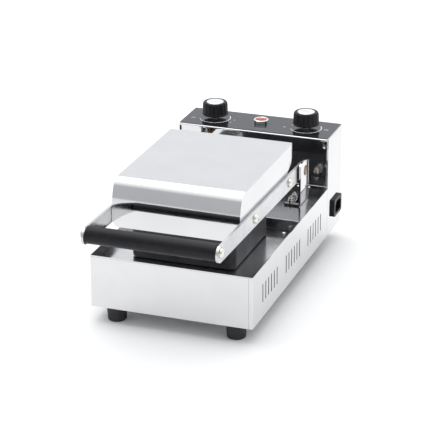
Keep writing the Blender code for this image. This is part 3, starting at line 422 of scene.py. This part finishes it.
def add_arc(bm, middle, radius, start, end, widths, low, high, steps=40):
    """A band round middle from angle start to end, in degrees; its width grows evenly."""
    inner, outer = [], []
    for step in range(steps + 1):
        angle = math.radians(start + (end - start) * step / steps)
        half = (widths[0] + (widths[1] - widths[0]) * step / steps) / 2
        direction = Vector((math.cos(angle), math.sin(angle)))
        inner.append(tuple(middle + direction * (radius - half)))
        outer.append(tuple(middle + direction * (radius + half)))
    add_slab(bm, outer + inner[::-1], low, high)


def add_tick(bm, middle, angle, near, far, width, low, high):
    """A short radial line."""
    along = Vector((math.cos(math.radians(angle)), math.sin(math.radians(angle))))
    across = Vector((-along.y, along.x)) * width / 2
    corners = [along * near - across, along * far - across, along * far + across, along * near + across]
    add_slab(bm, [tuple(middle + corner) for corner in corners], low, high)


def add_digits(bm, words, place, height, low, high):
    """Dial numbers, readable from the front, as a thin print."""
    curve = bpy.data.curves.new("digits", "FONT")
    curve.body, curve.size = words, height * 1.4
    curve.align_x, curve.align_y = "CENTER", "CENTER"
    curve.extrude, curve.offset = (high - low) / 2, 0.00008
    text = bpy.data.objects.new("digits", curve)
    text.location = (place[0], place[1], (low + high) / 2)
    bpy.context.scene.collection.objects.link(text)
    bpy.context.view_layer.update()
    mesh = bpy.data.meshes.new_from_object(text)
    mesh.transform(text.matrix_world)
    bm.from_mesh(mesh)
    bpy.data.objects.remove(text)
    bpy.data.curves.remove(curve)
    bpy.data.meshes.remove(mesh)


def dial_prints():
    """White scale round each knob and a few dial numbers on the fascia."""
    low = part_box("control_fascia")[1].z + PRINT_LIFT
    high = low + PRINT_DEPTH
    numbers = {
        "timer": (("0", 150, 0.0290), ("5", -2, 0.0335), ("4", -24, 0.0335), ("min", 196, 0.0350)),
        "thermostat": (("0", 150, 0.0290), ("300", 2, 0.0330), ("\u00b0C", 190, 0.0350)),
    }
    for control, words in numbers.items():
        knob_low, knob_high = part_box(control + "_knob")
        middle = ((knob_low + knob_high) / 2).to_2d()
        bm = bmesh.new()
        add_arc(bm, middle, SCALE_RADIUS, 205, 395, (0.0008, 0.0019), low, high)
        add_tick(bm, middle, POINTER_ANGLE, SCALE_RADIUS - 0.0008, SCALE_RADIUS + 0.0026, 0.0011, low, high)
        for angle in (222, 250, 278, 306, 334):
            add_tick(bm, middle, angle, SCALE_RADIUS, SCALE_RADIUS + 0.0022, 0.0006, low, high)
        for word, angle, reach in words:
            turn = math.radians(angle)
            place = middle + Vector((math.cos(turn), math.sin(turn))) * reach
            add_digits(bm, word, place, 0.0032, low, high)
        print_or_shade_piece(control + "_scale", "base", bm)


def turned(name, profile, middle, slot, flutes=0, segments=192):
    """A solid turned round the vertical axis at middle, from (height, radius, flute depth) points."""
    bm = bmesh.new()
    rings = []
    for height, radius, depth in profile:
        if radius == 0:
            rings.append([bm.verts.new((middle.x, middle.y, height))])
            continue
        ring = []
        for i in range(segments):
            angle = math.tau * i / segments
            reach = radius - depth * (0.5 + 0.5 * math.cos(flutes * angle)) ** 5
            x, y = middle.x + reach * math.cos(angle), middle.y + reach * math.sin(angle)
            ring.append(bm.verts.new((x, y, height)))
        rings.append(ring)
    for below, above in zip(rings, rings[1:]):
        for i in range(segments):
            j = (i + 1) % segments
            corners = [ring[k % len(ring)] for ring, k in ((below, i), (below, j), (above, j), (above, i))]
            bm.faces.new(list(dict.fromkeys(corners)))
    bmesh.ops.recalc_face_normals(bm, faces=bm.faces)
    mesh = bpy.data.meshes.new(name)
    bm.to_mesh(mesh)
    bm.free()
    mesh.materials.append(MATERIALS[slot])
    mesh.shade_smooth()
    made = bpy.data.objects.new(name, mesh)
    bpy.context.scene.collection.objects.link(made)
    split = made.modifiers.new("split", "EDGE_SPLIT")
    split.split_angle = math.radians(38)
    return made


def knobs():
    """Fluted knobs with an inset bright cap and a pointer line, in place of the plainer CAD ones."""
    for control in ("timer", "thermostat"):
        low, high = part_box(control + "_knob")
        middle, foot, top = ((low + high) / 2).to_2d(), low.z, high.z
        profile = (
            (foot + 0.0150, 0, 0), (foot + 0.0150, 0.0034, 0), (foot, 0.0034, 0), (foot, 0.0206, 0),
            (foot + 0.0005, 0.0212, 0), (foot + 0.0012, 0.0213, 0), (foot + 0.0019, 0.0212, 0),
            (foot + 0.0030, 0.0206, 0.0009), (foot + 0.0036, 0.0205, 0.0011),
            (top - 0.0036, 0.0200, 0.0011), (top - 0.0022, 0.0196, 0.0009),
            (top - 0.0012, 0.0190, 0.0005), (top - 0.0004, 0.0182, 0),
            (top, 0.0172, 0), (top, 0.0146, 0), (top - 0.0004, 0.0141, 0), (top - 0.0016, 0.0140, 0),
            (top - 0.0016, 0, 0),
        )
        body = turned(control + "_fluted_knob", profile, middle, "black_plastic", FLUTES)
        profile = (
            (top - 0.0013, 0, 0), (top - 0.0013, 0.0137, 0), (top - 0.0003, 0.0137, 0), (top, 0.0134, 0),
            (top + 0.0001, 0.0128, 0), (top, 0.0120, 0), (top, 0, 0),
        )
        cap = turned(control + "_spun_cap", profile, middle, "bright_cap", segments=96)
        for piece, node in ((body, control + "_knob"), (cap, control + "_knob_cap")):
            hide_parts(node)
            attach(piece, control + "_control")
        bm = bmesh.new()
        add_tick(bm, middle, POINTER_ANGLE, -0.0060, 0.0110, 0.0007, top - 0.00003, top + 0.00005)
        print_or_shade_piece(control + "_pointer", control + "_control", bm, GREY)


def add_block(bm, low, high):
    outline = [(low[0], low[1]), (high[0], low[1]), (high[0], high[1]), (low[0], high[1])]
    add_slab(bm, outline, low[2], high[2])


def sheet_edge_shade():
    """Painted shade as dark hairlines: in the gaps where the hood's side plates meet its rolled top, and
    grey lines along the folds round the base's front.
    """
    low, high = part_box("hood_cover")
    bm = bmesh.new()
    # Painted shade along the top of each hood side, where the side plate meets the rolled top.
    for side, x in ((-1, low.x), (1, high.x)):
        inner, outer = sorted((x - side * 0.0006, x - side * 0.00005))
        add_block(
            bm, (inner, low.y + 0.0300, high.z - 0.0019), (outer, high.y - 0.0020, high.z - 0.0012)
        )
    print_or_shade_piece("hood_seam_shade", "lid", bm, SEAM_SHADE)
    low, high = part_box("base_shell")
    bm = bmesh.new()
    # Painted shade along the base's front folds: a line under the top edge and an upright one near the
    # right corner.
    front, behind, line = low.y - 0.00004, low.y + 0.0002, high.z - 0.0019
    add_block(bm, (low.x + 0.002, front, line), (high.x - 0.002, behind, line + 0.0004))
    add_block(bm, (high.x - 0.0062, front, low.z), (high.x - 0.0057, behind, line))
    print_or_shade_piece("base_front_fold_shade", "base", bm, FOLD_SHADE)


def fill_vents_with_shade():
    """Painted shade: near-black sheets inside the base's side walls that fill the vent slots with shade."""
    low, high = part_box("base_shell")
    for name, side, x in (("left", -1, low.x), ("right", 1, high.x)):
        inner, outer = sorted((x - side * 0.0068, x - side * 0.0060))
        bm = bmesh.new()
        add_block(bm, (inner, low.y + 0.030, low.z + 0.012), (outer, high.y - 0.020, low.z + 0.0512))
        print_or_shade_piece("vent_slot_shade_" + name, "base", bm, VENT_SHADE)


# ---------------------------------------------------------------- studio
def world():
    """A white room: bright overhead, plain behind the object and greyer behind the camera."""
    made = bpy.data.worlds.new("studio")
    made.use_nodes = True
    tree = made.node_tree
    background = tree.nodes["Background"]
    direction = tree.nodes.new("ShaderNodeTexCoord").outputs["Generated"]
    split = tree.nodes.new("ShaderNodeSeparateXYZ")
    tree.links.new(direction, split.inputs[0])

    def ramp(source, *stops):
        scale = tree.nodes.new("ShaderNodeMapRange")
        scale.inputs["From Min"].default_value, scale.inputs["From Max"].default_value = -1.0, 1.0
        tree.links.new(source, scale.inputs["Value"])
        made_ramp = tree.nodes.new("ShaderNodeValToRGB")
        elements = made_ramp.color_ramp.elements
        while len(elements) < len(stops):
            elements.new(1.0)
        for element, (place, grey) in zip(elements, stops):
            element.position = place * 0.5 + 0.5
            element.color = (grey * 0.972, grey * 0.99, grey * 1.02, 1.0)
        tree.links.new(scale.outputs["Result"], made_ramp.inputs["Fac"])
        return made_ramp.outputs["Color"]

    depth = ramp(split.outputs["Y"], (-1.0, 0.60), (-0.45, 0.66), (0.25, 1.02), (1.0, 1.08))
    height = ramp(split.outputs["Z"], (-1.0, 0.0), (0.62, 0.0), (0.84, 1.0), (1.0, 1.0))
    overhead = tree.nodes.new("ShaderNodeMixRGB")
    tree.links.new(height, overhead.inputs["Fac"])
    tree.links.new(depth, overhead.inputs["Color1"])
    overhead.inputs["Color2"].default_value = (1.3, 1.3, 1.3, 1.0)
    tree.links.new(overhead.outputs["Color"], background.inputs["Color"])
    background.inputs["Strength"].default_value = 1.0
    bpy.context.scene.world = made


def area_light(name, place, target, size, power, colour=(1, 1, 1)):
    data = bpy.data.lights.new(name, "AREA")
    data.shape = "RECTANGLE"
    data.size, data.size_y = size
    data.energy = power
    data.color = colour
    light = bpy.data.objects.new(name, data)
    light.location = place
    light.rotation_euler = (Vector(target) - Vector(place)).to_track_quat("-Z", "Y").to_euler()
    bpy.context.scene.collection.objects.link(light)
    return light


def studio():
    world()
    area_light("overhead_softbox", (-0.5, 0.35, 2.1), (0, 0, 0.1), (2.2, 2.2), 20)
    floor_mesh = bmesh.new()
    bmesh.ops.create_grid(floor_mesh, x_segments=1, y_segments=1, size=8.0)
    mesh = bpy.data.meshes.new("floor")
    floor_mesh.to_mesh(mesh)
    floor_mesh.free()
    floor = bpy.data.objects.new("floor", mesh)
    floor.location.z = cad_box[0].z - 0.0002
    bpy.context.scene.collection.objects.link(floor)
    paper = Surface("studio_floor", (0.93, 0.93, 0.93), 0.85, 0.0, Specular_IOR_Level=0.1)
    cloud = paper.noise(1.5, 2.0)
    paper.colour(paper.ramp(cloud, (0.3, (0.925, 0.925, 0.925)), (0.7, (0.94, 0.94, 0.94))))
    mesh.materials.append(paper.material)


def camera():
    """The photographed view: from the front right, a little above, with a long lens."""
    data = bpy.data.cameras.new("camera")
    data.lens, data.sensor_width = 158.97, 36.0
    data.clip_end = 50.0
    made = bpy.data.objects.new("camera", data)
    turn = Matrix.Rotation(math.radians(19.90), 4, "Z") @ Matrix.Rotation(math.radians(67.975), 4, "X")
    turn = turn @ Matrix.Rotation(math.radians(-0.241), 4, "Z")
    made.matrix_world = Matrix.Translation((0.9044, -2.4993, 1.1919)) @ turn
    bpy.context.scene.collection.objects.link(made)
    bpy.context.scene.camera = made
    bpy.context.scene.view_settings.view_transform = "Standard"


camera()
studio()
finish_cad_nodes()
dial_prints()
knobs()
sheet_edge_shade()
fill_vents_with_shade()
